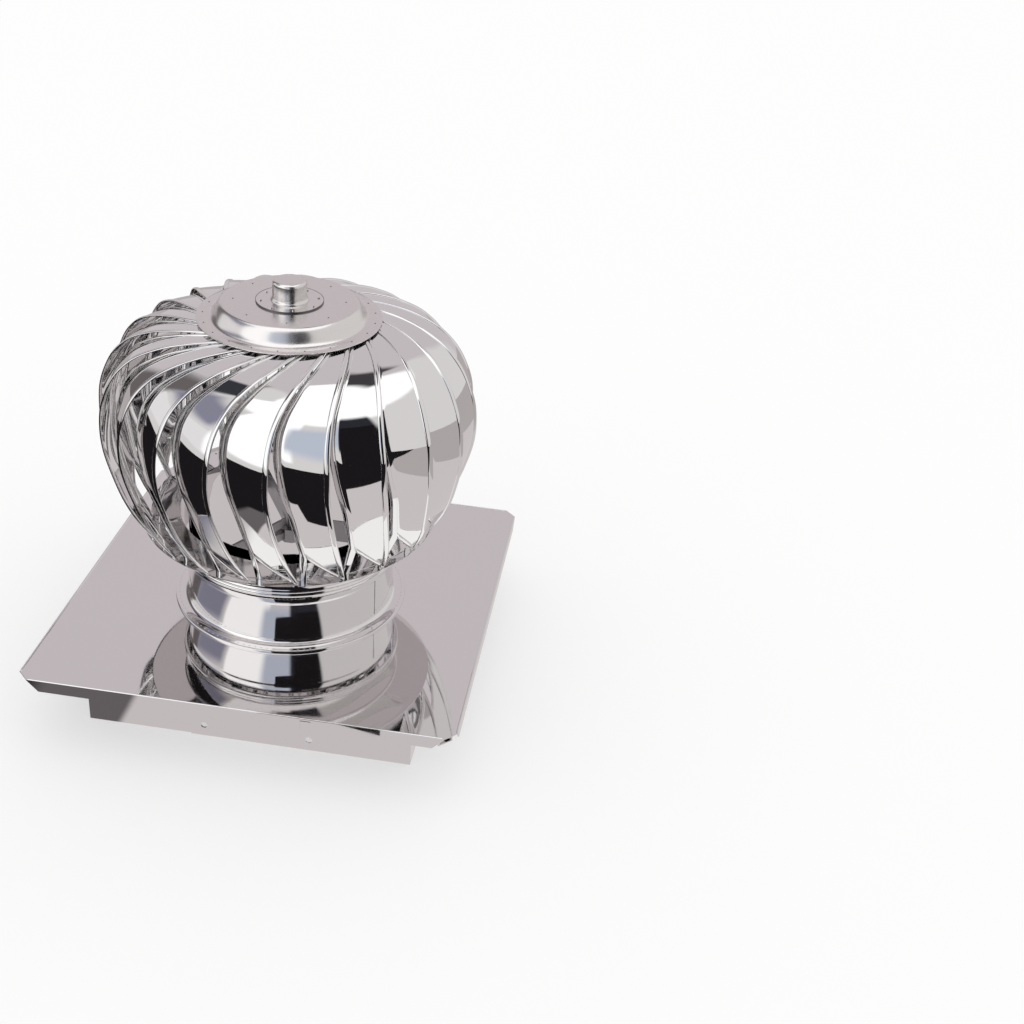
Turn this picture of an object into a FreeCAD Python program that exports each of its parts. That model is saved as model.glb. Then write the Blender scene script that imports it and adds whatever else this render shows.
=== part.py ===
import FreeCAD, Part
import math
import os

import Sketcher

# Rotating chimney cap: a square base plate with a round throat, a turbine of curved vanes that
# turns on a fixed spindle above it, and an adjustable skirt of four corner angles below it.
# Frame: origin in the middle of the footprint, at the free edge of the skirt, +Z up, front -Y.

doc = FreeCAD.newDocument("ChimneyCap")
dim = doc.addObject("Spreadsheet::Sheet", "dim")

driving_dimensions = [
    # Base plate and throat
    ("plate_side", 400.0), ("plate_level", 74.0), ("sheet", 0.8), ("rim_drop", 11.5),
    ("corner_cut", 11.0), ("rim_end_cut", 10.0), ("notch_width", 9.5), ("notch_from_middle", 65.5),
    ("throat_radius", 100.0), ("foot_radius", 112.8), ("foot_height", 4.3), ("foot_bend", 1.5),
    ("bead_start", 46.0), ("bead_end", 57.0), ("bead_height", 1.2), ("bead_slope", 2.0),
    ("neck_radius", 97.0), ("neck_start", 62.0), ("collar_top", 100.0),
    # Skirt: four corner angles
    ("skirt_half", 154.0), ("skirt_gap", 0.3), ("leg_long", 213.0), ("leg_short", 205.0),
    ("skirt_top", 71.5), ("crease_low", 33.0), ("crease_high", 36.0), ("crease_step", 1.2),
    ("corner_relief", 22.0), ("screw_hole", 3.25), ("screw_level", 12.0), ("screw_first", 97.0),
    ("screw_spacing", 100.0), ("leg_end_cut", 5.0), ("ear_thick", 1.5), ("ear_reach", 14.0),
    ("ear_level", 38.0), ("ear_inside", 3.0), ("ear_corner", 5.0), ("clamp_hole", 3.3),
    # Rails and clamp bolts
    ("rail_start", 142.0), ("rail_end", 268.0), ("rail_shoulder", 256.0), ("rail_sheet", 1.2),
    ("rail_half_width", 20.0), ("crown_half_width", 7.5), ("crown_height", 12.0), ("rail_lead_in", 0.4),
    ("slot_half_width", 3.5), ("slot_start", 152.0), ("slot_end", 254.0), ("clamp_offset", 160.0),
    ("bolt_radius", 3.0), ("bolt_length", 30.0), ("bolt_head", 4.0), ("bolt_across", 10.0),
    ("nut_height", 5.0), ("nut_lift", 0.3),
    # Fixed spider, spindle and bearings
    ("arm_bottom", 135.0), ("arm_height", 22.0), ("arm_thick", 3.0), ("arm_inner", 8.0),
    ("tab_turn", 15.0), ("tab_bolt_turn", 9.0), ("arm_bolt_hole", 3.3), ("nut_stand_off", 0.2),
    ("weld_radius", 11.5), ("weld_height", 14.0),
    ("weld_level", 132.0), ("spindle_radius", 5.0), ("spindle_bottom", 138.0),
    ("spindle_top", 395.0), ("shoulder_radius", 7.0), ("bearing_low", 346.0),
    ("bearing_high", 378.0), ("bearing_height", 8.0), ("bearing_bore", 13.0),
    ("inner_ring", 7.4), ("ring_gap", 0.05), ("sleeve_wall", 1.5), ("spindle_nut_across", 16.0),
    ("spindle_nut_height", 6.0), ("washer_radius", 7.2), ("washer_height", 1.5),
    ("spindle_chamfer", 1.0), ("shoulder_height", 8.0),
    # Turbine
    ("vane_count", 21.0), ("ring_bottom", 131.0), ("ring_inner", 104.6), ("ring_sheet", 0.8),
    ("ring_roll", 1.4), ("ring_roll_height", 2.6), ("flange_level", 168.8), ("flange_radius", 140.0),
    ("disc_level", 366.0), ("disc_radius", 83.0), ("slope_foot", 68.0), ("plateau_radius", 62.4),
    ("plateau_rise", 15.0), ("dish_bend", 2.6),
    ("hub_radius", 30.0), ("hub_sheet", 1.2), ("housing_radius", 14.6),
    ("housing_bottom", 344.0), ("housing_top", 388.0), ("housing_land", 11.5),
    ("cap_radius", 15.5), ("cap_top", 401.0), ("cap_shoulder", 2.5), ("cap_foot_flare", 1.6),
    ("cap_foot_height", 2.6),
    ("rivet_circle", 26.0), ("rivet_radius", 1.5), ("rivet_head", 0.8), ("rivet_count", 8.0),
    # Vane: stations of the outer profile, sweep of the hem in degrees, width in shares of the
    # vanes' pitch, and the depth of the curl across that width
    ("lip_radius", 119.5), ("lip_level", 147.8), ("low_radius", 142.8), ("low_level", 176.0),
    ("flank_radius", 164.9), ("flank_level", 226.0), ("waist_radius", 172.6),
    ("waist_level", 276.0), ("hip_radius", 164.1), ("hip_level", 313.0),
    ("brow_radius", 145.3), ("brow_level", 339.0), ("dome_radius", 115.4), ("dome_level", 355.0),
    ("root_radius", 76.0), ("root_level", 365.9), ("hem_sweep_low", 13.5),
    ("hem_sweep_high", 19.0), ("vane_width", 0.74), ("vane_widening", 0.23),
    ("widening_start", 0.35), ("widening_run", 0.4), ("vane_depth", 13.5), ("curl_power", 1.8),
    ("vane_sheet", 0.6), ("hem_thick", 1.2), ("first_vane_turn", -82.0), ("vane_rows", 12.0),
    # Vane's lower end, in shares of the profile's length and of the width, and its leg
    ("hem_foot", 0.098), ("tail_foot", 0.235), ("hem_share", 0.12), ("tail_share", 0.85),
    ("leg_radius", 130.0), ("leg_turn", -6.9),
]
for row, (name, value) in enumerate(driving_dimensions, start=1):
    dim.set(f"A{row}", name)
    dim.set(f"B{row}", str(value))
    dim.setAlias(f"B{row}", name)
doc.recompute()

sub_parts = []


def size(expression):
    """Value of an expression of the sheet's dimensions, in millimetres or degrees."""
    result = dim.evalExpression(expression)
    return float(getattr(result, "Value", result))


def bind(thing, **expressions):
    """Ties properties to expressions; two underscores in a name stand for a point."""
    for name, expression in expressions.items():
        thing.setExpression(name.replace("__", "."), expression)


def keep(thing, label):
    """Names a finished sub-part."""
    thing.Label = label
    sub_parts.append(thing)
    return thing


def new_body(label):
    return keep(doc.addObject("PartDesign::Body", label), label)


def new_sketch(body, role, level="0"):
    """Sketch on one of the body's own origin planes, shifted along its normal."""
    sketch = body.newObject("Sketcher::SketchObject", "Sketch")
    plane = next(f for f in body.Origin.OriginFeatures if f.Role == role)
    sketch.AttachmentSupport = [(plane, "")]
    sketch.MapMode = "FlatFace"
    if level != "0":
        bind(sketch, AttachmentOffset__Base__z=level)
    return sketch


def outline(sketch, corners):
    """Closed polygon whose corners are pairs of sheet expressions."""
    points = [FreeCAD.Vector(size(across), size(up), 0) for across, up in corners]
    first = sketch.GeometryCount
    for index, point in enumerate(points):
        sketch.addGeometry(Part.LineSegment(point, points[(index + 1) % len(points)]), False)
    for index, (across, up) in enumerate(corners):
        line = first + index
        previous = first + (index - 1) % len(corners)
        sketch.addConstraint(Sketcher.Constraint("Coincident", previous, 2, line, 1))
        for kind, expression in (("DistanceX", across), ("DistanceY", up)):
            value = size(expression)
            number = sketch.addConstraint(Sketcher.Constraint(kind, -1, 1, line, 1, value))
            if "dim." in expression:
                sketch.setExpression(f"Constraints[{number}]", expression)


def circle(sketch, across, up, radius):
    """Circle given by sheet expressions."""
    centre = FreeCAD.Vector(size(across), size(up), 0)
    number = sketch.addGeometry(Part.Circle(centre, FreeCAD.Vector(0, 0, 1), size(radius)), False)
    for constraint, expression in (
        (Sketcher.Constraint("DistanceX", -1, 1, number, 3, centre.x), across),
        (Sketcher.Constraint("DistanceY", -1, 1, number, 3, centre.y), up),
        (Sketcher.Constraint("Radius", number, size(radius)), radius),
    ):
        index = sketch.addConstraint(constraint)
        if "dim." in expression:
            sketch.setExpression(f"Constraints[{index}]", expression)


def pad(body, sketch, length):
    feature = body.newObject("PartDesign::Pad", "Pad")
    feature.Profile = sketch
    bind(feature, Length=length)
    return feature


def pocket(body, sketch, reverse=False):
    """Cut through everything on one side of the sketch."""
    feature = body.newObject("PartDesign::Pocket", "Pocket")
    feature.Profile = sketch
    feature.Type = "ThroughAll"
    feature.Reversed = reverse
    return feature


def loft(body, low, high):
    """Straight-sided solid between two like outlines."""
    feature = body.newObject("PartDesign::AdditiveLoft", "Loft")
    feature.Profile = low
    feature.Sections = [high]
    feature.Ruled = True
    return feature


def turned(label, profile):
    """Body of revolution about Z from corners given as (radius, level)."""
    body = new_body(label)
    sketch = new_sketch(body, "XZ_Plane")
    outline(sketch, profile)
    feature = body.newObject("PartDesign::Revolution", "Revolution")
    feature.Profile = sketch
    feature.ReferenceAxis = (sketch, ["V_Axis"])
    feature.Angle = 360.0
    return body


def solid(kind, **expressions):
    """Part primitive with sizes and place tied to the sheet."""
    thing = doc.addObject(kind, kind.split("::")[1])
    bind(thing, **expressions)
    return thing


def joined(kind, first, second):
    thing = doc.addObject(kind, kind.split("::")[1])
    thing.Base = first
    thing.Tool = second
    return thing


def group(label, pieces):
    """Like fasteners kept together as separate solids of one sub-part."""
    thing = doc.addObject("Part::Compound", label)
    thing.Links = pieces
    return keep(thing, label)


CORNERS = ["front_right", "back_right", "back_left", "front_left"]

# Base plate: one sheet with its four edges bent down, corners cut off and rim ends cut at a slant.
half = "dim.plate_side / 2"


def square_outline(sketch, corner_cut):
    """The plate's square with its four corners cut off."""
    cut = f"({half} - {corner_cut})"
    outline(sketch, [
        (cut, f"-({half})"), (half, f"-{cut}"), (half, cut), (cut, half),
        (f"-{cut}", half), (f"-({half})", cut), (f"-({half})", f"-{cut}"), (f"-{cut}", f"-({half})"),
    ])


plate = new_body("base_plate")
under = "dim.plate_level - dim.rim_drop"
low = new_sketch(plate, "XY_Plane", under)
square_outline(low, "(dim.corner_cut + dim.rim_end_cut)")
high = new_sketch(plate, "XY_Plane", "dim.plate_level - dim.sheet")
square_outline(high, "dim.corner_cut")
loft(plate, low, high)
sketch = new_sketch(plate, "XY_Plane", "dim.plate_level - dim.sheet")
square_outline(sketch, "dim.corner_cut")
pad(plate, sketch, "dim.sheet")
sketch = new_sketch(plate, "XY_Plane", "dim.plate_level - dim.sheet")
inside = f"({half} - dim.sheet)"
outline(sketch, [
    (inside, f"-{inside}"), (inside, inside), (f"-{inside}", inside), (f"-{inside}", f"-{inside}"),
])
pocket(plate, sketch)
sketch = new_sketch(plate, "XY_Plane", "dim.plate_level")
circle(sketch, "0", "0", "dim.throat_radius - dim.sheet")
pocket(plate, sketch)
sketch = new_sketch(plate, "XZ_Plane", "0")
notch_left = "dim.notch_from_middle - dim.notch_width / 2"
notch_right = "dim.notch_from_middle + dim.notch_width / 2"
notch_top = "dim.plate_level - 2 * dim.sheet"
outline(sketch, [
    (notch_left, under), (notch_right, under), (notch_right, notch_top), (notch_left, notch_top),
])
pocket(plate, sketch, reverse=True)

# Throat collar: rolled sheet with a foot flange crimped to the plate, a bead and a narrower neck.
level = "dim.plate_level"
outer = "dim.throat_radius"
inner = "dim.throat_radius - dim.sheet"
neck = "dim.neck_radius"
collar = turned("throat_collar", [
    (inner, level), ("dim.foot_radius", level), ("dim.foot_radius", f"{level} + dim.foot_height / 2"),
    (f"{outer} + dim.foot_bend", f"{level} + dim.foot_height"),
    (outer, f"{level} + dim.foot_height + dim.foot_bend"), (outer, f"{level} + dim.bead_start"),
    (f"{outer} + dim.bead_height", f"{level} + dim.bead_start + dim.bead_slope"),
    (f"{outer} + dim.bead_height", f"{level} + dim.bead_end - dim.bead_slope"),
    (outer, f"{level} + dim.bead_end"),
    (neck, f"{level} + dim.neck_start"), (neck, f"{level} + dim.collar_top"),
    (f"{neck} - dim.sheet", f"{level} + dim.collar_top"),
    (f"{neck} - dim.sheet", f"{level} + dim.neck_start"), (inner, f"{level} + dim.bead_end"),
])
sketch = new_sketch(collar, "YZ_Plane", "0")
circle(sketch, "0", "dim.arm_bottom + dim.arm_height / 2", "dim.arm_bolt_hole")
hole = pocket(collar, sketch, reverse=True)
pattern = collar.newObject("PartDesign::PolarPattern", "ArmHoles")
pattern.Originals = [hole]
pattern.Axis = (next(f for f in collar.Origin.OriginFeatures if f.Role == "Z_Axis"), [""])
pattern.Angle = 360.0
pattern.Occurrences = 3
collar.Tip = pattern
bind(collar, Placement__Rotation__Angle="dim.tab_bolt_turn")

# Rails: hat sections spot-welded under the plate on its diagonals, slotted for the clamp bolts.
top = "dim.plate_level - dim.sheet"
flange = f"{top} - dim.rail_sheet"
crown = f"{top} - dim.crown_height"
wide = "dim.rail_half_width"
narrow = "dim.crown_half_width"
bore = "(dim.crown_half_width - dim.rail_sheet)"
for index, corner in enumerate(CORNERS):
    rail = new_body(f"rail_{corner}")
    sketch = new_sketch(rail, "YZ_Plane", "dim.rail_start")
    outline(sketch, [
        (f"-{wide}", top), (f"-{wide}", flange), (f"-{narrow}", flange), (f"-{narrow}", crown),
        (narrow, crown), (narrow, flange), (wide, flange), (wide, top),
        (bore, top), (bore, f"{crown} + dim.rail_sheet"), (f"-{bore}", f"{crown} + dim.rail_sheet"),
        (f"-{bore}", top),
    ])
    pad(rail, sketch, "dim.rail_end - dim.rail_start")
    sketch = new_sketch(rail, "XY_Plane", top)
    for sign in ("", "-"):
        outline(sketch, [
            ("dim.rail_shoulder", f"{sign}({wide} + 1)"), ("dim.rail_end + 1", f"{sign}({wide} + 1)"),
            ("dim.rail_end + 1", f"{sign}({narrow} + dim.rail_lead_in)"),
            ("dim.rail_shoulder", f"{sign}({wide} - dim.rail_lead_in)"),
        ])
    pocket(rail, sketch)
    sketch = new_sketch(rail, "XY_Plane", top)
    outline(sketch, [
        ("dim.slot_start", "-dim.slot_half_width"), ("dim.slot_end", "-dim.slot_half_width"),
        ("dim.slot_end", "dim.slot_half_width"), ("dim.slot_start", "dim.slot_half_width"),
    ])
    pocket(rail, sketch)
    bind(rail, Placement__Rotation__Angle=f"{90 * index - 45}")

# Corner angles of the skirt: a bent sheet with a lengthwise step, one leg outside its neighbour's
# short leg and one leg inside, cut back at the top round the rail, with a welded ear for the bolt.
side = "dim.skirt_half"
tuck = "dim.sheet + dim.skirt_gap"


def angle_outline(sketch, inset):
    """Plan of the two legs, moved inwards by inset."""
    front = f"-({side} - {inset})"
    front_in = f"-({side} - {inset} - dim.sheet)"
    right = f"({side} - ({tuck}) - {inset})"
    right_in = f"({side} - ({tuck}) - {inset} - dim.sheet)"
    long_end = f"{side} - dim.leg_long"
    short_end = f"dim.leg_short - {side}"
    outline(sketch, [
        (long_end, front), (right, front), (right, short_end),
        (right_in, short_end), (right_in, front_in), (long_end, front_in),
    ])


for index, corner in enumerate(CORNERS):
    angle = new_body(f"skirt_{corner}")
    sketch = new_sketch(angle, "XY_Plane")
    angle_outline(sketch, "0")
    pad(angle, sketch, "dim.crease_low")
    low = new_sketch(angle, "XY_Plane", "dim.crease_low")
    angle_outline(low, "0")
    high = new_sketch(angle, "XY_Plane", "dim.crease_high")
    angle_outline(high, "dim.crease_step")
    loft(angle, low, high)
    sketch = new_sketch(angle, "XY_Plane", "dim.crease_high")
    angle_outline(sketch, "dim.crease_step")
    pad(angle, sketch, "dim.skirt_top - dim.crease_high")
    sketch = new_sketch(angle, "XY_Plane", "dim.ear_level")
    relief = f"{side} - dim.corner_relief"
    outline(sketch, [
        (relief, f"-({side} + 1)"), (f"{side} + 1", f"-({side} + 1)"), (f"{side} + 1", f"-({relief})"),
        (relief, f"-({relief})"),
    ])
    pocket(angle, sketch, reverse=True)
    sketch = new_sketch(angle, "XY_Plane", "dim.ear_level")
    near = f"{side} - dim.ear_inside"
    far = f"{side} + dim.ear_reach"
    clip = f"{far} - dim.ear_corner"
    near_clip = f"{near} + dim.ear_corner"
    outline(sketch, [
        (near, f"-({near})"), (near, f"-({clip})"), (near_clip, f"-({far})"),
        (clip, f"-({far})"), (far, f"-({clip})"), (far, f"-({near_clip})"), (clip, f"-({near})"),
    ])
    circle(sketch, "dim.clamp_offset", "-dim.clamp_offset", "dim.clamp_hole")
    pad(angle, sketch, "dim.ear_thick")
    sketch = new_sketch(angle, "XZ_Plane", "0")
    first = f"{side} - dim.screw_first"
    circle(sketch, first, "dim.screw_level", "dim.screw_hole")
    circle(sketch, f"{first} - dim.screw_spacing", "dim.screw_level", "dim.screw_hole")
    end = f"{side} - dim.leg_long"
    outline(sketch, [
        (f"{end} - 1", "-1"), (f"{end} + dim.leg_end_cut", "-1"), (f"{end} - 1", "dim.leg_end_cut"),
    ])
    pocket(angle, sketch, reverse=True)
    sketch = new_sketch(angle, "YZ_Plane", "0")
    circle(sketch, f"{side} - dim.screw_first - dim.screw_spacing", "dim.screw_level", "dim.screw_hole")
    pocket(angle, sketch, reverse=True)
    bind(angle, Placement__Rotation__Angle=f"{90 * index}")

# Clamp bolts: a hexagon bolt stands in each ear and passes up through the rail's slot to a nut
# held inside the rail, drawn slack by a hair so that the corner can slide.
for index, corner in enumerate(CORNERS):
    place = {"Placement__Base__x": "dim.clamp_offset", "Placement__Base__y": "-dim.clamp_offset"}
    head = solid("Part::Prism", Circumradius="dim.bolt_across / sqrt(3)", Height="dim.bolt_head",
                 Placement__Base__z="dim.ear_level - dim.bolt_head", **place)
    shank = solid("Part::Cylinder", Radius="dim.bolt_radius", Height="dim.bolt_length + 1",
                  Placement__Base__z="dim.ear_level - 1", **place)
    bolt = keep(joined("Part::Fuse", head, shank), f"clamp_bolt_{corner}")
    bind(bolt, Placement__Rotation__Angle=f"{90 * index}")
    hexagon = solid("Part::Prism", Circumradius="dim.bolt_across / sqrt(3)", Height="dim.nut_height",
                    Placement__Base__z=f"{crown} + dim.rail_sheet + dim.nut_lift", **place)
    thread = solid("Part::Cylinder", Radius="dim.bolt_radius", Height="dim.nut_height + 2",
                   Placement__Base__z=f"{crown} + dim.rail_sheet + dim.nut_lift - 1", **place)
    bind(hexagon, Placement__Rotation__Angle="15")
    nut = keep(joined("Part::Cut", hexagon, thread), f"clamp_nut_{corner}")
    bind(nut, Placement__Rotation__Angle=f"{90 * index}")

# Spider: three flat bars on edge, each with a tab bent round against the neck of the collar and
# held there by one bolt: hexagon head outside the collar, nut on the inner face of the tab.
wall = "(dim.neck_radius - dim.sheet)"
nut_seat = f"({wall} - dim.arm_thick - dim.nut_height - dim.nut_stand_off)"
hexagon = "dim.bolt_across / sqrt(3)"


def on_bolt_axis(kind, start, index, **expressions):
    """Piece lying on the bolt axis of one arm, its inner end at a radius from the middle."""
    piece = solid(kind, **expressions)
    facing = FreeCAD.Rotation(size("dim.tab_bolt_turn") + 120 * index, 90, 0)
    axis = facing.multVec(FreeCAD.Vector(0, 0, 1))
    middle = FreeCAD.Vector(0, 0, size("dim.arm_bottom + dim.arm_height / 2"))
    piece.Placement = FreeCAD.Placement(middle + axis * size(start), facing)
    return piece


arms = []
bolts = []
nuts = []
for index in range(3):
    bar = solid("Part::Box", Length=f"{wall} - dim.arm_thick / 2 - dim.arm_inner", Width="dim.arm_thick",
                Height="dim.arm_height", Placement__Base__x="dim.arm_inner",
                Placement__Base__y="-dim.arm_thick / 2", Placement__Base__z="dim.arm_bottom")
    sector = solid("Part::Cylinder", Radius=wall, Height="dim.arm_height", Angle="dim.tab_turn",
                   Placement__Base__z="dim.arm_bottom")
    core = solid("Part::Cylinder", Radius=f"{wall} - dim.arm_thick", Height="dim.arm_height + 2",
                 Placement__Base__z="dim.arm_bottom - 1")
    tab = joined("Part::Cut", sector, core)
    drill = on_bolt_axis("Part::Cylinder", "0", 0, Radius="dim.arm_bolt_hole", Height="dim.neck_radius")
    arm = keep(joined("Part::Cut", joined("Part::Fuse", bar, tab), drill), f"support_arm_{index + 1}")
    bind(arm, Placement__Rotation__Angle=f"{120 * index}")
    arms.append(arm)
    head = on_bolt_axis("Part::Prism", "dim.neck_radius", index, Circumradius=hexagon,
                        Height="dim.bolt_head")
    shank = on_bolt_axis("Part::Cylinder", f"{nut_seat} - 4", index, Radius="dim.bolt_radius",
                         Height=f"dim.neck_radius - {nut_seat} + 5")
    bolts.append(joined("Part::Fuse", head, shank))
    block = on_bolt_axis("Part::Prism", nut_seat, index, Circumradius=hexagon, Height="dim.nut_height")
    thread = on_bolt_axis("Part::Cylinder", f"{nut_seat} - 1", index, Radius="dim.bolt_radius",
                          Height="dim.nut_height + 2")
    nuts.append(joined("Part::Cut", block, thread))
group("arm_bolts", bolts)
group("arm_nuts", nuts)

# Spindle with a shoulder for the lower bearing, welded to the bars' inner ends by one lump.
rod = "dim.spindle_radius"
low_end = "dim.bearing_low"
high_end = "(dim.bearing_high + dim.bearing_height)"
spindle = turned("spindle", [
    ("0", "dim.spindle_bottom"), (rod, "dim.spindle_bottom"),
    (rod, f"{low_end} - dim.shoulder_height - (dim.shoulder_radius - {rod})"),
    ("dim.shoulder_radius", f"{low_end} - dim.shoulder_height"), ("dim.shoulder_radius", low_end),
    (rod, low_end), (rod, "dim.spindle_top - dim.spindle_chamfer"),
    (f"{rod} - dim.spindle_chamfer", "dim.spindle_top"), ("0", "dim.spindle_top"),
])
lump = solid("Part::Prism", Circumradius="dim.weld_radius", Height="dim.weld_height",
             Placement__Base__z="dim.weld_level")
lump.Polygon = 10
spider = doc.addObject("Part::MultiFuse", "Spider")
spider.Shapes = arms + [spindle]
keep(joined("Part::Cut", lump, spider), "hub_weld")

# Two sealed bearings: inner rings and the sleeve between them stay on the spindle, and the outer
# rings turn with the housing, each drawn as one ring with its seals. The clamping washer is
# smaller than the inner rings, so it stays clear of what turns.


def rings(label, hole, rim):
    """The same ring at both bearings, as one sub-part of two solids."""
    pieces = []
    for level in ("dim.bearing_low", "dim.bearing_high"):
        disc = solid("Part::Cylinder", Radius=rim, Height="dim.bearing_height", Placement__Base__z=level)
        opening = solid("Part::Cylinder", Radius=hole, Height="dim.bearing_height + 2",
                        Placement__Base__z=f"{level} - 1")
        pieces.append(joined("Part::Cut", disc, opening))
    group(label, pieces)


def tube(label, hole, rim, low, high):
    """Plain tube between two levels."""
    return turned(label, [(hole, low), (rim, low), (rim, high), (hole, high)])


rings("bearing_inner_rings", rod, "dim.inner_ring")
rings("bearing_outer_rings", "dim.inner_ring + dim.ring_gap", "dim.bearing_bore")
tube("bearing_sleeve", rod, f"{rod} + dim.sleeve_wall", "dim.bearing_low + dim.bearing_height",
     "dim.bearing_high")
tube("spindle_washer", rod, "dim.washer_radius", high_end, f"{high_end} + dim.washer_height")
nut_level = f"{high_end} + dim.washer_height"
block = solid("Part::Prism", Circumradius="dim.spindle_nut_across / sqrt(3)",
              Height="dim.spindle_nut_height", Placement__Base__z=nut_level)
thread = solid("Part::Cylinder", Radius=rod, Height="dim.spindle_nut_height + 2",
               Placement__Base__z=f"{nut_level} - 1")
keep(joined("Part::Cut", block, thread), "spindle_nut")

# Turbine hub: bearing housing, hub disc with its rivets, dished top disc and dust cap.
bore = "dim.bearing_bore"
land = "dim.housing_land"
low_land = "dim.bearing_low + dim.bearing_height"
turned("bearing_housing", [
    (bore, "dim.housing_bottom"), ("dim.housing_radius", "dim.housing_bottom"),
    ("dim.housing_radius", "dim.housing_top"), (bore, "dim.housing_top"), (bore, "dim.bearing_high"),
    (land, "dim.bearing_high"), (land, low_land), (bore, low_land),
])
disc = "dim.disc_level"
plateau = f"{disc} + dim.plateau_rise"
edge = "dim.plateau_radius - dim.dish_bend"
slope_top = "dim.plateau_radius + dim.sheet / 2"
slope_low = "dim.slope_foot - dim.dish_bend / 2"
slope_end = "dim.slope_foot + dim.dish_bend / 2"
turned("top_disc", [
    ("dim.housing_radius", f"{plateau} - dim.sheet"), (edge, f"{plateau} - dim.sheet"),
    (f"{slope_top} - dim.sheet", f"{plateau} - dim.dish_bend - dim.sheet"),
    (f"{slope_low} - dim.sheet", f"{disc} + dim.dish_bend - dim.sheet"),
    (f"{slope_end} - dim.sheet", disc), ("dim.disc_radius", disc),
    ("dim.disc_radius", f"{disc} + dim.sheet"), (slope_end, f"{disc} + dim.sheet"),
    (slope_low, f"{disc} + dim.dish_bend"), (slope_top, f"{plateau} - dim.dish_bend"),
    (edge, plateau), ("dim.housing_radius", plateau),
])
hub_top = f"{plateau} + dim.hub_sheet"
tube("hub_disc", "dim.housing_radius", "dim.hub_radius", plateau, hub_top)
cap = "dim.cap_radius"
cap_wall = "dim.cap_radius - dim.sheet"
turned("dust_cap", [
    (cap_wall, hub_top), (f"{cap} + dim.cap_foot_flare", hub_top),
    (f"{cap} + dim.cap_foot_flare", f"{hub_top} + dim.hub_sheet"),
    (cap, f"{hub_top} + dim.cap_foot_height"),
    (cap, "dim.cap_top - dim.cap_shoulder"), (f"{cap} - dim.cap_shoulder", "dim.cap_top"),
    ("0", "dim.cap_top"), ("0", "dim.cap_top - dim.sheet"),
    (f"{cap} - dim.cap_shoulder - dim.sheet / 2", "dim.cap_top - dim.sheet"),
    (cap_wall, "dim.cap_top - dim.cap_shoulder - dim.sheet / 2"),
])
rivets = []
for index in range(int(size("dim.rivet_count"))):
    rivet = solid("Part::Prism", Circumradius="dim.rivet_radius", Height="dim.rivet_head")
    rivet.Polygon = 8
    turn = 2 * math.pi / size("dim.rivet_count") * (index + 0.5)
    out = size("dim.rivet_circle")
    rivet.Placement.Base = FreeCAD.Vector(out * math.cos(turn), out * math.sin(turn), size(hub_top))
    rivets.append(rivet)
group("hub_rivets", rivets)

# Turbine ring: a band that turns round the collar, its lower edge rolled outwards, and at its top
# the wide flat flange on which the vanes stand.
foot = "dim.ring_bottom"
band = "dim.ring_inner + dim.ring_sheet"
flange_under = "dim.flange_level - dim.ring_sheet"
turned("turbine_ring", [
    ("dim.ring_inner", foot), (f"{band} + dim.ring_roll", foot),
    (f"{band} + dim.ring_roll", f"{foot} + dim.ring_roll_height"),
    (band, f"{foot} + dim.ring_roll_height + dim.ring_sheet"), (band, flange_under),
    ("dim.flange_radius", flange_under), ("dim.flange_radius", "dim.flange_level"),
    ("dim.ring_inner", "dim.flange_level"),
])

# Vanes: each is a strip of sheet with both long edges folded over. Its leading hem follows the
# globe's profile from the flange up to the disc, swept towards the turning direction at both ends,
# and the strip curls inwards behind it, which leaves a slot for the smoke. Its lower end is cut
# away at a slant between the hem and a narrow leg under the tail edge, and both stand on the flange.
stations = ("lip", "low", "flank", "waist", "hip", "brow", "dome", "root")
profile_points = [
    FreeCAD.Vector(size(f"dim.{station}_radius"), 0, size(f"dim.{station}_level")) for station in stations
]
profile_curve = Part.BSplineCurve()
profile_curve.interpolate(profile_points)
profile = profile_curve.toShape()
pitch_angle = 360 / size("dim.vane_count")


def vane_point(share, across, lift):
    """Point of the vane: share of the way up the profile, share of its width, depth below it."""
    parameter = profile.getParameterByLength(profile.Length * share)
    place = profile.valueAt(parameter)
    along_hem = profile.tangentAt(parameter)
    normal = FreeCAD.Vector(along_hem.z, 0, -along_hem.x)
    bulge = math.sin(math.pi * min(share ** 0.85, 1.0))
    sunk = size("dim.vane_depth") * bulge * across ** size("dim.curl_power") + lift
    climb = (share - size("dim.widening_start")) / size("dim.widening_run")
    widening = min(max(climb, 0.0), 1.0) ** 1.5
    width = pitch_angle * (size("dim.vane_width") + size("dim.vane_widening") * widening)
    sweep = size("dim.hem_sweep_low") * max(0.0, 1 - 2 * share) ** 1.5
    sweep += size("dim.hem_sweep_high") * max(0.0, 2 * share - 1) ** 3
    spot = place - normal * sunk
    turn = math.radians(sweep - width * across)
    return FreeCAD.Vector(spot.x * math.cos(turn), spot.x * math.sin(turn), spot.z)


# The vane's net: rows from the slanted lower edge to the top, and row -1 for the foot of the leg.
rows = int(size("dim.vane_rows"))
hem_edge = size("dim.hem_share")
tail_edge = size("dim.tail_share")
steps = [0.0, hem_edge, (2 * hem_edge + tail_edge) / 3, (hem_edge + 2 * tail_edge) / 3, tail_edge, 1.0]
last = len(steps) - 1
cells = [(row, column) for row in range(rows) for column in range(last)] + [(-1, last - 1)]


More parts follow.
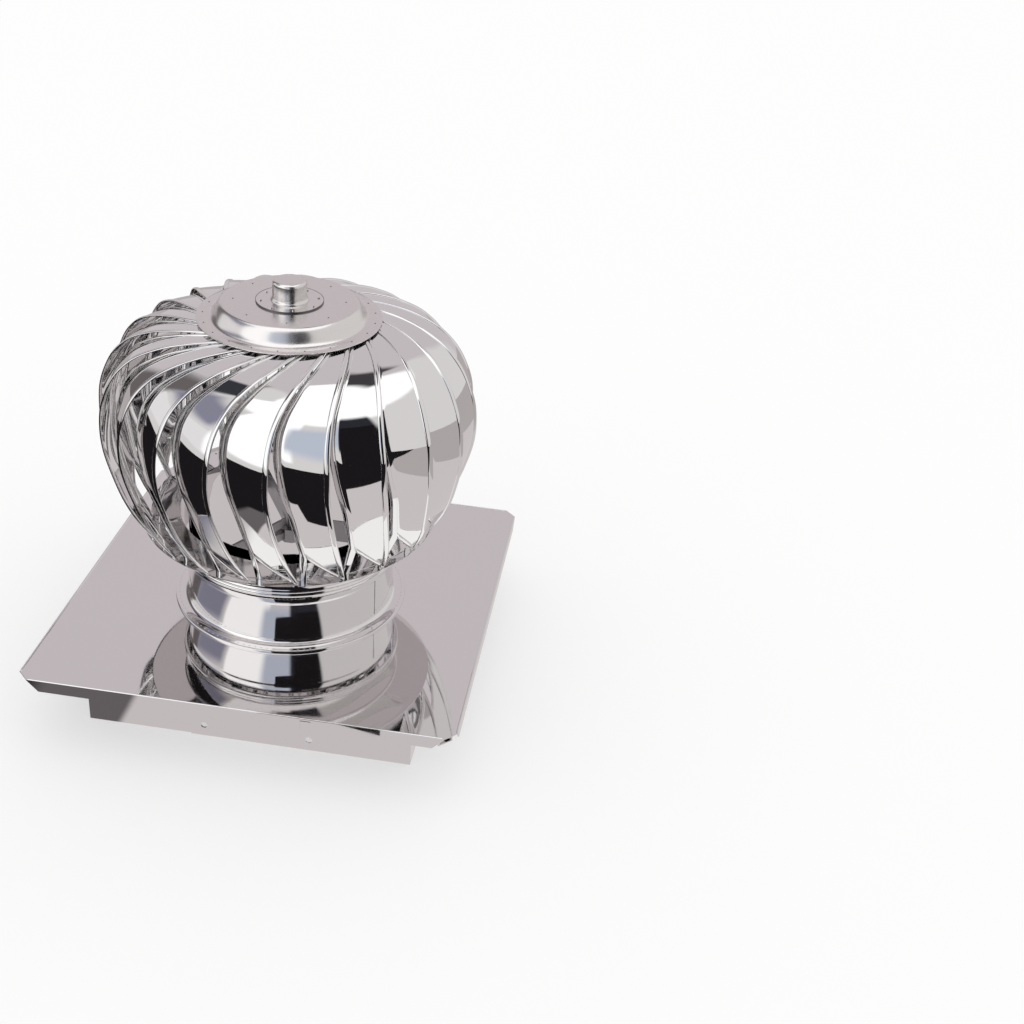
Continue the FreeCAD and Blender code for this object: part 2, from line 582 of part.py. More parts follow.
def knot(row, column, inner):
    """Corner of the vane's net, on its outer face or its inner one."""
    if row < 0:
        # The leg keeps the shape of the tail corner above it and is moved down on to the flange.
        spot = knot(0, column, inner) - knot(0, last, False)
        leg_turn = math.radians(size("dim.leg_turn"))
        spot.x += size("dim.leg_radius") * math.cos(leg_turn)
        spot.y += size("dim.leg_radius") * math.sin(leg_turn)
        spot.z = size("dim.flange_level")
        return spot
    slant = max(steps[column] - hem_edge, 0.0) / (1 - hem_edge)
    low = size("dim.hem_foot") + (size("dim.tail_foot") - size("dim.hem_foot")) * slant
    wall = size("dim.hem_thick") if column in (0, last) else size("dim.vane_sheet")
    spot = vane_point(low + (1 - low) * row / rows, steps[column], wall if inner else 0)
    if row == 0 and column <= 1:
        spot.z = size("dim.flange_level")
    return spot


def facets(first, second, third, fourth):
    """Two flat facets between four corners of the net."""
    return [
        Part.Face(Part.makePolygon([first, second, third, first])),
        Part.Face(Part.makePolygon([first, third, fourth, first])),
    ]


faces = []
for row, column in cells:
    corners = [(row, column), (row, column + 1), (row + 1, column + 1), (row + 1, column)]
    neighbours = [(row - 1, column), (row, column + 1), (row + 1, column), (row, column - 1)]
    for inner in (False, True):
        faces += facets(*[knot(*corner, inner) for corner in corners])
    for index, neighbour in enumerate(neighbours):
        if neighbour not in cells:
            here = corners[index]
            there = corners[(index + 1) % 4]
            faces += facets(knot(*here, False), knot(*there, False), knot(*there, True), knot(*here, True))
shell = Part.makeShell(faces)
shell.sewShape()
vane = Part.makeSolid(shell)
if vane.Volume < 0:
    vane.reverse()
for index in range(int(size("dim.vane_count"))):
    copy = doc.addObject("Part::Feature", f"vane_{index + 1:02d}")
    copy.Shape = vane.copy()
    bind(copy, Placement__Rotation__Angle=f"dim.first_vane_turn + {index} * 360 / dim.vane_count")
    keep(copy, f"vane_{index + 1:02d}")

doc.recompute()
for thing in doc.Objects:
    if "Invalid" in thing.State or "Error" in thing.State:
        raise RuntimeError(f"{thing.Label} failed: {thing.State}")
for piece in sub_parts:
    if piece.Shape.isNull() or not piece.Shape.isValid():
        raise RuntimeError(f"{piece.Label} has no valid shape")

os.makedirs("parts", exist_ok=True)
for piece in sub_parts:
    piece.Shape.exportStep(f"parts/{piece.Label}.step")
    volume = piece.Shape.Volume
    print(f"{piece.Label}: {volume:.0f} mm3, top {piece.Shape.BoundBox.ZMax:.1f}")
print(f"{len(sub_parts)} sub-parts")
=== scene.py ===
import bpy
import math
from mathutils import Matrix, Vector


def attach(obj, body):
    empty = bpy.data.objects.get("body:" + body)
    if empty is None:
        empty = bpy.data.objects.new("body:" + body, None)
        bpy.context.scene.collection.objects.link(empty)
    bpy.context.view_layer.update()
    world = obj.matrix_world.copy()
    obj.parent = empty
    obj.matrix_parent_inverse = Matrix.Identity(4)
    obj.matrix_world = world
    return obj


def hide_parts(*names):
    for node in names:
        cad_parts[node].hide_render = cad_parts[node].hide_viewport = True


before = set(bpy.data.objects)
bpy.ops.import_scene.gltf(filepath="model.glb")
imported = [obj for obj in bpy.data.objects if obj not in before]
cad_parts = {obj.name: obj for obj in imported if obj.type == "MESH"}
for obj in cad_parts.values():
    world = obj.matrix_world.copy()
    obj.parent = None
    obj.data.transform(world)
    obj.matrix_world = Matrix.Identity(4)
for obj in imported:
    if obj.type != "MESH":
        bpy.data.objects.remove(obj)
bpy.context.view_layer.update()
scene = bpy.context.scene
scene.view_settings.view_transform = "Standard"
bpy.ops.object.select_all(action="DESELECT")

# Camera: a product shot from above the front right corner, with the cap in the left half of the
# frame. The lens, place and slight roll were solved from points all over the cap.
bpy.ops.object.camera_add(
    location=(0.32415, -1.19164, 0.90652),
    rotation=(math.radians(59.0991), math.radians(-4.0529), math.radians(7.7088)),
)
camera = bpy.context.object
camera.data.sensor_width = 36
camera.data.lens = 51.818
scene.camera = camera


# Studio: a white floor and a white surround light the cap evenly. The cap is mirror polished, so
# it mostly shows the room: to glossy rays the surround and the floor are that room, with a soft
# box, a bluish window and dark cloth in front, pale walls at the sides and a pinkish one behind.
def linear(colour):
    """A colour written as sRGB hex, as the linear numbers that nodes take."""
    parts = [int(colour[start:start + 2], 16) / 255 for start in (1, 3, 5)]
    return [p / 12.92 if p <= 0.04045 else ((p + 0.055) / 1.055) ** 2.4 for p in parts] + [1.0]


def add_node(tree, kind, settings, inputs):
    """Adds a node, with its settings, its sockets' values and its links."""
    node = tree.nodes.new(kind)
    for name, value in settings.items():
        setattr(node, name, value)
    for name, value in inputs.items():
        if isinstance(value, bpy.types.NodeSocket):
            tree.links.new(value, node.inputs[name])
        else:
            node.inputs[name].default_value = value
    return node


def lay_patch(tree, under, across, along, span, reach, colour, soft, lean=0.0):
    """Lays a soft-edged patch of colour over what is under it, from span[0] to span[1] across and
    from reach[0] to reach[1] along; its long edges climb by lean for each step across."""
    level = add_node(tree, "ShaderNodeMath", {"operation": "MULTIPLY_ADD"}, {
        0: across, 1: -lean, 2: along}).outputs["Value"]
    shown = None
    for value, limits in ((across, span), (level, reach)):
        for start, end in ((limits[0], limits[0] + soft), (limits[1], limits[1] - soft)):
            fade = add_node(tree, "ShaderNodeMapRange", {"interpolation_type": "SMOOTHSTEP"}, {
                "Value": value, "From Min": start, "From Max": end}).outputs["Result"]
            shown = fade if shown is None else add_node(tree, "ShaderNodeMath", {
                "operation": "MULTIPLY"}, {0: shown, 1: fade}).outputs["Value"]
    return add_node(tree, "ShaderNodeMixRGB", {}, {
        "Fac": shown, "Color1": under, "Color2": colour}).outputs["Color"]


scene.world = bpy.data.worlds.new("white_surround")
scene.world.use_nodes = True
scene.world.cycles.sampling_method = "NONE"
tree = scene.world.node_tree
tree.nodes.clear()
way = add_node(tree, "ShaderNodeTexCoord", {}, {}).outputs["Generated"]
camera_side = math.radians(76)
turned = add_node(tree, "ShaderNodeVectorRotate", {"rotation_type": "Z_AXIS"}, {
    "Vector": way, "Angle": camera_side}).outputs["Vector"]
axes = add_node(tree, "ShaderNodeSeparateXYZ", {}, {"Vector": turned}).outputs
turn = add_node(tree, "ShaderNodeMath", {"operation": "ARCTAN2"}, {0: axes["Y"], 1: axes["X"]})
turn = add_node(tree, "ShaderNodeMath", {"operation": "DEGREES"}, {
    0: turn.outputs["Value"]}).outputs["Value"]
rise = add_node(tree, "ShaderNodeMath", {"operation": "ARCSINE"}, {0: axes["Z"]})
rise = add_node(tree, "ShaderNodeMath", {"operation": "DEGREES"}, {
    0: rise.outputs["Value"]}).outputs["Value"]
white = linear("#FFFFFF")
lamp_white = [1.3, 1.3, 1.3, 1.0]
black_felt = linear("#1D1B1D")
# Each patch has its turn from the camera's side and its rise, both in degrees.
room = linear("#D2CBCE")
for span, reach, colour, soft, lean in (
        ((-148, 145), (-95, 95), linear("#E4E2E1"), 6.0, 0.0),  # pale walls, all but behind
        ((28, 152), (-70, -10), linear("#CBC7C6"), 12.0, 0.0),  # floor at the right, in shade
        ((-150, -122), (-95, 48), linear("#6E6869"), 8.0, 0.0),  # corner at the left, in shade
        ((-190, 190), (65, 100), lamp_white, 2.0, 0.0),  # lit ceiling
        ((-126, 143), (53, 100), lamp_white, 5.0, 0.0),
        ((147, 190), (43, 64), linear("#454246"), 5.0, 0.08),  # dark beam under it, behind
        ((-190, -128), (99, 117), linear("#30313A"), 4.0, -0.28),
        ((-150, -130), (38, 60), linear("#3A3B42"), 4.0, 0.0),
        ((-132, -78), (24, 54), linear("#8F8FA0"), 9.0, 0.0),  # bluish wall at the left
        ((-126, -70), (2, 24), linear("#F2F0F1"), 2.0, 0.0),  # white board below it
        ((-130, -96), (-95, -4), linear("#242223"), 3.0, 0.0),  # dark cloth below that
        ((-80, -24), (2, 80), lamp_white, 4.0, 0.0),  # soft box
        ((-38, 10), (8, 53), linear("#C6CEDD"), 10.0, 0.0),  # window
        ((-4, 36), (8, 60), linear("#2E2E36"), 5.0, 0.0),  # dark cloth beside it
        ((2, 33), (-95, 46), black_felt, 2.0, 0.0)):
    room = lay_patch(tree, room, turn, rise, span, reach, colour, soft, lean)
plain_light = add_node(tree, "ShaderNodeBackground", {}, {"Color": white, "Strength": 1.0})
room_light = add_node(tree, "ShaderNodeBackground", {}, {"Color": room, "Strength": 1.0})
seen_by = add_node(tree, "ShaderNodeLightPath", {}, {}).outputs
mix = add_node(tree, "ShaderNodeMixShader", {}, {
    0: seen_by["Is Glossy Ray"], 1: plain_light.outputs["Background"],
    2: room_light.outputs["Background"]})
add_node(tree, "ShaderNodeOutputWorld", {}, {"Surface": mix.outputs["Shader"]})

# Floor: white paint for the camera, half of it glowing, so that only a faint shadow is left. Its
# patches, in metres, are what the lower vanes and the rim reflect: pale floor, dark cloth round it.
bpy.ops.mesh.primitive_plane_add(size=14, location=(0, 0, -0.0005))
floor = bpy.context.object
floor.name = "studio_floor"
floor_paint = bpy.data.materials.new("matt_white_paint")
floor_paint.use_nodes = True
floor_paint.cycles.emission_sampling = "NONE"
tree = floor_paint.node_tree
tree.nodes.clear()
axes = add_node(tree, "ShaderNodeSeparateXYZ", {}, {
    "Vector": add_node(tree, "ShaderNodeTexCoord", {}, {}).outputs["Object"]}).outputs
cloth = linear("#B9B3B3")
for span, reach, colour, soft, lean in (
        ((-9, 9), (-9, -0.45), black_felt, 0.01, -0.4),
        ((-9, -0.12), (-9, 0.45), black_felt, 0.02, 0.0),
        ((-0.24, -0.10), (-0.46, -0.15), linear("#6B6668"), 0.03, -0.4),
        ((-0.13, 0.55), (-0.455, 0.9), linear("#D6D0D1"), 0.01, -0.4)):
    cloth = lay_patch(tree, cloth, axes["X"], axes["Y"], span, reach, colour, soft, lean)
paint = add_node(tree, "ShaderNodeBsdfDiffuse", {}, {"Color": linear("#FDFCFC")})
glow = add_node(tree, "ShaderNodeEmission", {}, {"Color": white, "Strength": 1.0})
lit = add_node(tree, "ShaderNodeMixShader", {}, {0: 0.5, 1: paint.outputs["BSDF"],
                                                 2: glow.outputs["Emission"]})
seen_by = add_node(tree, "ShaderNodeLightPath", {}, {}).outputs
shown = add_node(tree, "ShaderNodeMixShader", {}, {
    0: seen_by["Is Camera Ray"], 1: paint.outputs["BSDF"], 2: lit.outputs["Shader"]})
cloth_glow = add_node(tree, "ShaderNodeEmission", {}, {"Color": cloth, "Strength": 1.0})
mix = add_node(tree, "ShaderNodeMixShader", {}, {
    0: seen_by["Is Glossy Ray"], 1: shown.outputs["Shader"], 2: cloth_glow.outputs["Emission"]})
add_node(tree, "ShaderNodeOutputMaterial", {}, {"Surface": mix.outputs["Shader"]})
floor.data.materials.append(floor_paint)

# Black board: it stands close to the plate's front edge and only glossy rays meet it. The collar
# and the ring show it as a dark band, by way of the plate.
bpy.ops.mesh.primitive_plane_add(size=2)
black_board = bpy.context.object
black_board.name = "black_board"
board_low, board_top = 0.004, 0.215
board_left, board_right = (-0.002, -0.299), (0.118, -0.276)
for vertex in black_board.data.vertices:
    vertex.co.z = board_low if vertex.co.y < 0 else board_top
    vertex.co.x, vertex.co.y = board_left if vertex.co.x < 0 else board_right
black_board.visible_camera = False
black_board.visible_diffuse = False
black_board.visible_shadow = False
black_cloth = bpy.data.materials.new("black_cloth")
black_cloth.use_nodes = True
tree = black_cloth.node_tree
tree.nodes.clear()
glow = add_node(tree, "ShaderNodeEmission", {}, {"Color": black_felt, "Strength": 1.0})
add_node(tree, "ShaderNodeOutputMaterial", {}, {"Surface": glow.outputs["Emission"]})
black_board.data.materials.append(black_cloth)


# Plate, rails and skirt: cold-rolled stainless sheet with a bright mirror finish. It gives back the
# room nearly unchanged, bent a little by the waviness of thin sheet, with faint wipe marks.
wipe_size = 1 / 22  # metres, so about 45 mm


def steel(name, colour, roughness, wave_depth, wave_size, smudge):
    """Bare metal with a slightly wavy skin: wave depth and size in metres, and smudge as the extra
    roughness of the wiped patches."""
    finish = bpy.data.materials.new(name)
    finish.use_nodes = True
    tree = finish.node_tree
    surface = tree.nodes["Principled BSDF"]
    surface.inputs["Metallic"].default_value = 1.0
    surface.inputs["Base Color"].default_value = linear(colour)
    place = add_node(tree, "ShaderNodeTexCoord", {}, {}).outputs["Object"]
    waves = add_node(tree, "ShaderNodeTexNoise", {}, {
        "Vector": place, "Scale": 1 / wave_size, "Detail": 1.0, "Roughness": 0.4})
    bend = add_node(tree, "ShaderNodeBump", {}, {
        "Height": waves.outputs["Fac"], "Distance": wave_depth, "Strength": 1.0})
    wipes = add_node(tree, "ShaderNodeTexNoise", {}, {
        "Vector": place, "Scale": 1 / wipe_size, "Detail": 5.0, "Roughness": 0.7,
        "Distortion": 0.6})
    dull = add_node(tree, "ShaderNodeMapRange", {}, {
        "Value": wipes.outputs["Fac"], "From Min": 0.45, "From Max": 0.75,
        "To Min": roughness, "To Max": roughness + smudge})
    tree.links.new(dull.outputs["Result"], surface.inputs["Roughness"])
    tree.links.new(bend.outputs["Normal"], surface.inputs["Normal"])
    return finish


def finish_node(node, finish):
    """Puts a finish on a CAD node, on all its faces."""
    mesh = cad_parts[node].data
    mesh.materials.clear()
    mesh.materials.append(finish)


mirror_sheet = steel("mirror_polished_stainless", "#E6E4E4", 0.035, 0.00025, 0.09, 0.05)
finish_node("base_plate", mirror_sheet)
corners = ("front_right", "back_right", "back_left", "front_left")
for corner in corners:
    finish_node("rail_" + corner, mirror_sheet)
    finish_node("skirt_" + corner, mirror_sheet)

# Plate folds: the plate's four edges are folded down over a small radius. Each fold is a thin
# rounded line, which catches the light between the plate and its rim.
fold_radius = 0.001
fold_length = 0.376
fold_place = (0, -0.1989, 0.0736)
crisp_edge = math.radians(35)
for index in range(4):
    bpy.ops.object.select_all(action="DESELECT")
    bpy.ops.mesh.primitive_cylinder_add(vertices=24, radius=fold_radius, depth=fold_length,
                                        location=fold_place, rotation=(0, math.pi / 2, 0))
    fold = bpy.context.object
    fold.name = f"plate_fold_{index + 1}"
    bpy.ops.object.transform_apply(location=True, rotation=True, scale=True)
    fold.rotation_euler = (0, 0, math.pi / 2 * index)
    bpy.ops.object.transform_apply(location=True, rotation=True, scale=True)
    bpy.ops.object.shade_smooth_by_angle(angle=crisp_edge)
    fold.data.materials.append(mirror_sheet)
    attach(fold, "base")

# Arms, weld, spindle and bearings: hot-rolled bar and turned rod with a dull satin skin, which
# shows the room only as a soft grey sheen.
satin_bar = steel("satin_rolled_bar", "#A2A1A3", 0.32, 0.0001, 0.02, 0.12)
for node in ("support_arm_1", "support_arm_2", "support_arm_3", "hub_weld", "spindle",
             "bearing_sleeve", "bearing_housing", "bearing_inner_rings", "bearing_outer_rings"):
    finish_node(node, satin_bar)

# Fasteners: cold-headed steel with a bright zinc coat, which gives the bolts and nuts a bluish
# half-mirror next to the warmer stainless sheet.
zinc_coat = steel("blue_zinc_plating", "#B9C2CC", 0.22, 0.00005, 0.004, 0.10)
for node in ("arm_bolts", "arm_nuts", "spindle_nut", "spindle_washer"):
    finish_node(node, zinc_coat)
for corner in corners:
    finish_node("clamp_bolt_" + corner, zinc_coat)
    finish_node("clamp_nut_" + corner, zinc_coat)

# Throat collar: one strip of mirror-polished sheet rolled and closed with a lock seam, a bead near
# its top, and at its foot a flange crimped to the plate with a row of small punch marks.
def turned_sheet(name, profile, wall, finish, body, node):
    """Spins a profile of (radius, level) round the axis, in millimetres. A profile with a wall is
    the sheet's outer face and gets its thickness inwards; one without a wall is closed."""
    bpy.ops.object.select_all(action="DESELECT")
    bpy.ops.curve.primitive_bezier_curve_add()
    line = bpy.context.object
    line.name = name
    points = line.data.splines[0].bezier_points
    points.add(len(profile) - 2)
    for point, (radius, level) in zip(points, profile):
        point.handle_left_type = point.handle_right_type = "VECTOR"
        point.co = (radius / 1000, 0, level / 1000)
    line.data.resolution_u = 1
    bpy.ops.object.convert(target="MESH")
    bpy.ops.object.mode_set(mode="EDIT")
    bpy.ops.mesh.select_all(action="SELECT")
    bpy.ops.mesh.spin(steps=144, angle=2 * math.pi, center=(0, 0, 0), axis=(0, 0, 1))
    bpy.ops.mesh.select_all(action="SELECT")
    bpy.ops.mesh.remove_doubles(threshold=1e-6)
    bpy.ops.mesh.normals_make_consistent(inside=False)
    bpy.ops.object.mode_set(mode="OBJECT")
    piece = bpy.context.object
    if wall:
        # An open profile's flat faces look up, so that the wall grows downwards and inwards.
        rims = [face for face in piece.data.polygons if abs(face.normal.z) > 0.9]
        if sum(face.normal.z * face.area for face in rims) < 0:
            piece.data.flip_normals()
        sheet = piece.modifiers.new("sheet", "SOLIDIFY")
        sheet.thickness = wall / 1000
        sheet.offset = -1
        bpy.ops.object.modifier_apply(modifier=sheet.name)
    bpy.ops.object.shade_smooth_by_angle(angle=crisp_edge)
    piece.data.materials.clear()
    piece.data.materials.append(finish)
    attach(piece, body)
    if node:
        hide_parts(node)


def dot_ring(name, count, radius, level, size, height, finish, body, start=0.0, rows=1, step=0.0):
    """Low round marks set round the axis, count groups of rows marks each that are a step apart,
    with sizes in millimetres and turns in degrees."""
    bpy.ops.object.select_all(action="DESELECT")
    bpy.ops.mesh.primitive_uv_sphere_add(segments=8, ring_count=6, radius=1)
    piece = bpy.context.object
    piece.name = name
    bpy.ops.object.mode_set(mode="EDIT")
    bpy.ops.mesh.select_all(action="SELECT")
    bpy.ops.transform.resize(value=(size / 1000, size / 1000, height / 1000))
    bpy.ops.transform.translate(value=(radius / 1000, 0, level / 1000))
    axis = {"orient_axis": "Z", "center_override": (0, 0, 0)}
    bpy.ops.transform.rotate(value=-math.radians(start), **axis)
    for row in range(1, rows):
        bpy.ops.mesh.duplicate()
        bpy.ops.transform.rotate(value=-math.radians(step), **axis)
    bpy.ops.mesh.select_all(action="SELECT")
    for group in range(1, count):
        bpy.ops.mesh.duplicate()
        bpy.ops.transform.rotate(value=-2 * math.pi / count, **axis)
    bpy.ops.object.mode_set(mode="OBJECT")
    bpy.ops.object.shade_smooth()
    piece.data.materials.append(finish)
    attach(piece, body)


turned_sheet("throat_collar_sheet", [
    (112.8, 74.0), (112.8, 75.4), (112.5, 76.0), (111.8, 76.3), (110.6, 76.4), (108.6, 76.5),
    (106.0, 76.8), (104.0, 77.2), (102.4, 77.8), (101.2, 78.7), (100.4, 80.0), (100.0, 81.8),
    (100.0, 119.6), (100.3, 120.6), (100.9, 121.6), (101.2, 122.8), (101.2, 128.2), (100.9, 129.4),
    (100.3, 130.4), (99.7, 131.2), (97.6, 135.4), (97.0, 136.6), (97.0, 174.0), (96.2, 174.0),
    (96.2, 136.4), (99.2, 131.0), (99.2, 74.0), (112.8, 74.0)], 0, mirror_sheet, "base",
    "throat_collar")
dot_ring("foot_crimps", 120, 109.4, 76.3, 0.75, 0.6, mirror_sheet, "base")
seam_turn = math.radians(-22.4)
seam_radius = 0.1001
bpy.ops.mesh.primitive_cube_add(size=1)
seam = bpy.context.object
seam.name = "collar_lock_seam"
seam.scale = (0.0006, 0.0016, 0.0375)
seam.location = (seam_radius * math.cos(seam_turn), seam_radius * math.sin(seam_turn), 0.1006)
seam.rotation_euler = (0, 0, seam_turn)
bpy.ops.object.transform_apply(location=True, rotation=True, scale=True)
edge = seam.modifiers.new("edge", "BEVEL")
edge.width = 0.0002
edge.segments = 2
bpy.ops.object.modifier_apply(modifier=edge.name)
bpy.ops.object.shade_smooth_by_angle(angle=crisp_edge)
seam.data.materials.append(mirror_sheet)
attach(seam, "base")

# Turbine ring: a rolled band with three fine beads at its lower edge and a wide flange at its top.
# The flange's outer edge is pressed down a little, and each vane's feet are spot welded to it.
turned_sheet("turbine_ring_sheet", [
    (104.6, 131.0), (106.0, 131.0), (106.8, 131.4), (107.2, 132.2), (107.0, 133.2), (106.2, 133.9),
    (105.7, 134.3), (106.3, 134.8), (106.8, 135.6), (106.6, 136.6), (105.9, 137.3), (105.5, 137.7),
    (106.1, 138.2), (106.5, 139.0), (106.3, 139.9), (105.7, 140.6), (105.4, 141.4), (105.4, 165.0),
    (105.7, 166.6), (106.6, 167.6), (108.0, 168.0), (130.8, 168.0), (131.4, 167.8), (139.4, 166.6),
    (140.0, 166.8), (140.0, 167.4), (139.4, 167.7), (131.6, 168.5), (131.2, 168.8), (104.6, 168.8),
    (104.6, 131.0)], 0, mirror_sheet, "turbine", "turbine_ring")
vane_count = 21
# The spots' heat-tinted steel makes them small dark dots on the bright sheet. The same dark steel
# paints a shade line round the hub disc's edge.
weld_tint_and_painted_edge_shade = steel("weld_heat_tint_and_painted_edge_shade", "#6E6A6C", 0.35, 0.00005, 0.004, 0.1)
dot_ring("flange_weld_spots", vane_count, 126.5, 168.85, 0.9, 0.35, weld_tint_and_painted_edge_shade, "turbine", -88.0, 3, 3.4)

# Top disc, hub disc and dust cap: stainless drawn in a press, with a satin skin that is duller
# than the vanes. The disc is a shallow dish whose rounded slope runs out into a flat rim.
satin_sheet = steel("satin_drawn_stainless", "#E3E0DF", 0.20, 0.0002, 0.03, 0.12)
finish_node("hub_disc", satin_sheet)
finish_node("hub_rivets", satin_sheet)
turned_sheet("top_disc_sheet", [
    (83.0, 366.0), (83.0, 366.6), (82.7, 366.8), (76.0, 366.8), (73.4, 366.9), (71.4, 367.3),
    (69.8, 368.2), (68.4, 369.6), (67.2, 371.4), (66.1, 373.4), (65.0, 375.3), (63.9, 377.1),
    (62.8, 378.6), (61.6, 379.8), (60.3, 380.6), (59.0, 380.95), (57.8, 381.0), (14.6, 381.0)],
    0.8, satin_sheet, "turbine", "top_disc")
# Hub edge line: a thin ring of the dark steel round the hub disc's rim, a painted shade line where
# the disc steps onto the plateau.
turned_sheet("hub_edge_painted_shade_line", [
    (29.9, 381.0), (30.35, 381.0), (30.35, 382.3), (29.9, 382.3), (29.9, 381.0)], 0, weld_tint_and_painted_edge_shade,
    "turbine", None)
dot_ring("rim_weld_spots", vane_count, 77.2, 366.85, 0.8, 0.25, weld_tint_and_painted_edge_shade, "turbine", 3.0)
dot_ring("plateau_weld_spots", 8, 50.0, 381.05, 0.8, 0.25, weld_tint_and_painted_edge_shade, "turbine", 12.0)
turned_sheet("dust_cap_sheet", [
    (17.1, 382.2), (17.1, 382.8), (16.7, 383.4), (16.0, 384.0), (15.6, 385.0), (15.5, 386.2),
    (15.5, 396.9), (15.35, 398.2), (14.9, 399.4), (14.0, 400.3), (12.8, 400.8), (11.4, 401.0),
    (0.0, 401.0)], 0.8, satin_sheet, "turbine", "dust_cap")

# Vanes: strips of mirror-polished sheet. Both long edges and the slanted lower edge are folded over
# to a flat hem 5 mm wide. Each strip curls in behind its leading hem, and stands on the flange with
# that hem's foot and with a narrow leg under its tail corner.
stations = [(120.5, 146.7), (147.7, 180.7), (166.4, 226.1), (173.9, 277.7), (165.4, 314.6),
            (147.0, 341.2), (127.0, 354.3), (104.5, 361.9), (76.0, 365.8)]
bpy.ops.curve.primitive_bezier_curve_add()
outline = bpy.context.object
outline_points = outline.data.splines[0].bezier_points
outline_points.add(len(stations) - 2)
for point, (radius, level) in zip(outline_points, stations):
    point.handle_left_type = point.handle_right_type = "AUTO"
    point.co = (radius / 1000, 0, level / 1000)
outline.data.resolution_u = 32
bpy.ops.object.convert(target="MESH")
rib = [outline.matrix_world @ vertex.co for vertex in outline.data.vertices]
bpy.data.objects.remove(outline)
run = [0.0]
for before, after in zip(rib, rib[1:]):
    run.append(run[-1] + (after - before).length)


def outline_at(share):
    """Point of the outline and its outward normal, at a share of its length from the ring."""
    target = share * run[-1]
    index = max(i for i in range(len(run) - 1) if run[i] <= target)
    part = (target - run[index]) / (run[index + 1] - run[index])
    ahead = rib[min(index + 2, len(rib) - 1)] - rib[max(index - 1, 0)]
    outward = Vector((ahead.z, 0, -ahead.x)).normalized()
    return rib[index].lerp(rib[index + 1], min(part, 1.0)), outward


def ease(position, start, end):
    """Smooth step from 0 at start to 1 at end."""
    part = min(max((position - start) / (end - start), 0.0), 1.0)
    return part * part * (3 - 2 * part)


def between(table, position):
    """Value at a position in a table of (position, value) rows."""
    for (low, first), (high, second) in zip(table, table[1:]):
        if position <= high:
            return first + (second - first) * max(position - low, 0.0) / (high - low)
    return table[-1][1]


# The folded hem, by distance from its edge in millimetres: how high it stands over the sheet, and
# how far its outer face rolls away at the edge.
hem_rise = [(0.9, 0.88), (1.8, 0.96), (2.8, 0.98), (3.8, 0.9), (4.6, 0.7), (4.95, 0.36), (5.1, 0.0)]
hem_roll = [(0.0, 1.3), (0.1, 0.85), (0.35, 0.45), (0.9, 0.12), (1.8, 0.0)]
hem_lines = [0.0, 0.1, 0.35, 0.9, 1.8, 2.8, 3.8, 4.6, 4.95, 5.1]
sheet_lines = 20
column_count = 2 * len(hem_lines) + sheet_lines
leg_rows = 8
row_count = 56
# The lower edge, in shares of the outline's length: it starts where the outline meets the flange
# and climbs to the tail. The slant turns the hem's width into length along the outline.
flange_top = 0.1688
foot_share = run[max(i for i in range(len(rib)) if rib[i].z < flange_top)] / run[-1]
tail_share = 0.235
slant = 1.7
edge_start = 0.12
leg_turn = math.radians(-6.9)
leg_foot = Vector((0.130 * math.cos(leg_turn), 0.130 * math.sin(leg_turn), flange_top))
# The strip: its width in shares of the vanes' pitch, how far its leading hem sweeps round the axis,
# in degrees, and how deep it curls in, in millimetres, at its tail and once more at the tail's lip.
pitch = math.radians(360 / vane_count)
low_width, widening, narrowing = 0.76, 0.29, 0.08
first_sweep, low_sweep, high_sweep = 0.8, 12.6, 31
curl_depth, lip_depth, lip_start = 13.0, 2.0, 0.82
hem_height = 0.95
bpy.ops.mesh.primitive_grid_add(x_subdivisions=column_count - 1,
                                y_subdivisions=leg_rows + len(hem_lines) + row_count - 1, size=1)
vane = bpy.context.object


def vane_place(column, row):
    """Place of a grid point, with columns from the leading hem to the tail and rows up from the
    lower edge. The width depends on the height and the height on the width, so both are found in
    three goes."""
    share = foot_share
    for attempt in range(3):
        width = low_width + widening * ease(share, 0.35, 0.75)
        width -= narrowing * max(0.0, share / 0.2 - 4) ** 2
        width *= pitch
        span = outline_at(share)[0].x * width * 1000
        if column < len(hem_lines):
            inside = hem_lines[column]
        elif column < len(hem_lines) + sheet_lines:
            part = (column - len(hem_lines) + 1) / (sheet_lines + 1)
            inside = hem_lines[-1] + (span - 2 * hem_lines[-1]) * part
        else:
            inside = span - hem_lines[column_count - 1 - column]
        across = inside / span
        climb = max(across - edge_start, 0.0) / (1 - edge_start)
        start = foot_share + (tail_share - foot_share) * climb
        if row < len(hem_lines):
            share = start + hem_lines[row] * slant / 1000 / run[-1]
        else:
            first = start + hem_lines[-1] * slant / 1000 / run[-1]
            share = first + (1 - first) * (row - len(hem_lines) + 1) / row_count
    to_edge = min(inside, span - inside)
    to_low = 9.0 if column < len(hem_lines) or column >= column_count - len(hem_lines) else (
        (share - start) * run[-1] * 1000 / slant)
    depth = hem_height - max(between(hem_rise, to_edge), between(hem_rise, to_low))
    depth += max(between(hem_roll, to_edge), between(hem_roll, to_low))
    bulge = math.sin(math.pi * min(share ** 0.85, 1.0))
    spot, outward = outline_at(share)
    curl = bulge * (curl_depth * across + lip_depth * ease(across, lip_start, 1.0))
    placed = spot - outward * (curl + depth) / 1000
    sweep = first_sweep + low_sweep * max(0.0, 1 - 2 * share) ** 1.5
    sweep += high_sweep * max(0.0, 2 * share - 1) ** 2.9
    turn = math.radians(sweep) - width * across
    return Vector((placed.x * math.cos(turn), placed.x * math.sin(turn), placed.z))


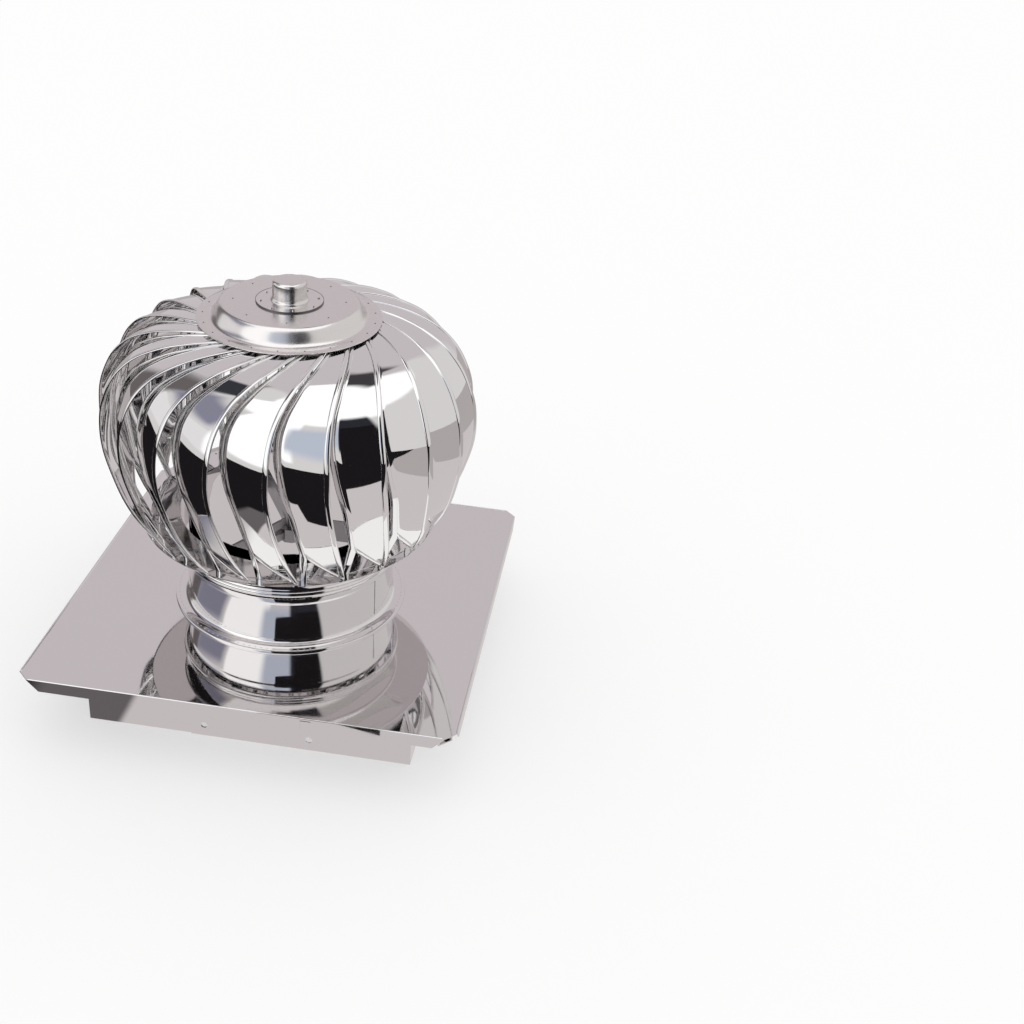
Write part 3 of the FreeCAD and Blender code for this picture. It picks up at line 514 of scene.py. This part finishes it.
tail_corner = vane_place(column_count - 1, 0)
for vertex in vane.data.vertices:
    column = round((vertex.co.x + 0.5) * (column_count - 1))
    row = round((vertex.co.y + 0.5) * (leg_rows + len(hem_lines) + row_count - 1)) - leg_rows
    spot = vane_place(column, max(row, 0))
    if row < 0:
        foot = spot + leg_foot - tail_corner
        foot.z = leg_foot.z
        spot = spot.lerp(foot, -row / leg_rows)
    vertex.co = spot

# Below the lower edge only the leg, under the tail's hem, is kept.
bpy.ops.object.mode_set(mode="EDIT")
bpy.ops.mesh.select_all(action="DESELECT")
bpy.ops.object.mode_set(mode="OBJECT")
for polygon in vane.data.polygons:
    column = polygon.index % (column_count - 1)
    row = polygon.index // (column_count - 1)
    polygon.select = row < leg_rows and column < column_count - len(hem_lines)
bpy.ops.object.mode_set(mode="EDIT")
bpy.ops.mesh.delete(type="FACE")
bpy.ops.mesh.select_all(action="SELECT")
bpy.ops.mesh.normals_make_consistent(inside=False)
bpy.ops.object.mode_set(mode="OBJECT")
if vane.data.polygons[len(vane.data.polygons) // 2].normal.dot(Vector((1, 0, 0.2))) < 0:
    vane.data.flip_normals()
vane_wall = 0.0005
wall = vane.modifiers.new("sheet", "SOLIDIFY")
wall.thickness = vane_wall
wall.offset = -1
bpy.ops.object.modifier_apply(modifier=wall.name)
bpy.ops.object.shade_smooth_by_angle(angle=math.radians(40))
vane.data.materials.append(
    steel("mirror_polished_vane_sheet", "#E9E8E8", 0.03, 0.00012, 0.06, 0.03))

first_turn = -82
last_vane = vane_count - 1
for index in range(vane_count):
    copy = vane if index == last_vane else vane.copy()
    if index < last_vane:
        copy.data = vane.data.copy()
        bpy.context.collection.objects.link(copy)
    copy.name = f"vane_sheet_{index + 1:02d}"
    bpy.ops.object.select_all(action="DESELECT")
    copy.select_set(True)
    bpy.context.view_layer.objects.active = copy
    copy.rotation_euler = (0, 0, math.radians(first_turn + 360 / vane_count * index))
    bpy.ops.object.transform_apply(location=True, rotation=True, scale=True)
    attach(copy, "turbine")
    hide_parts(f"vane_{index + 1:02d}")
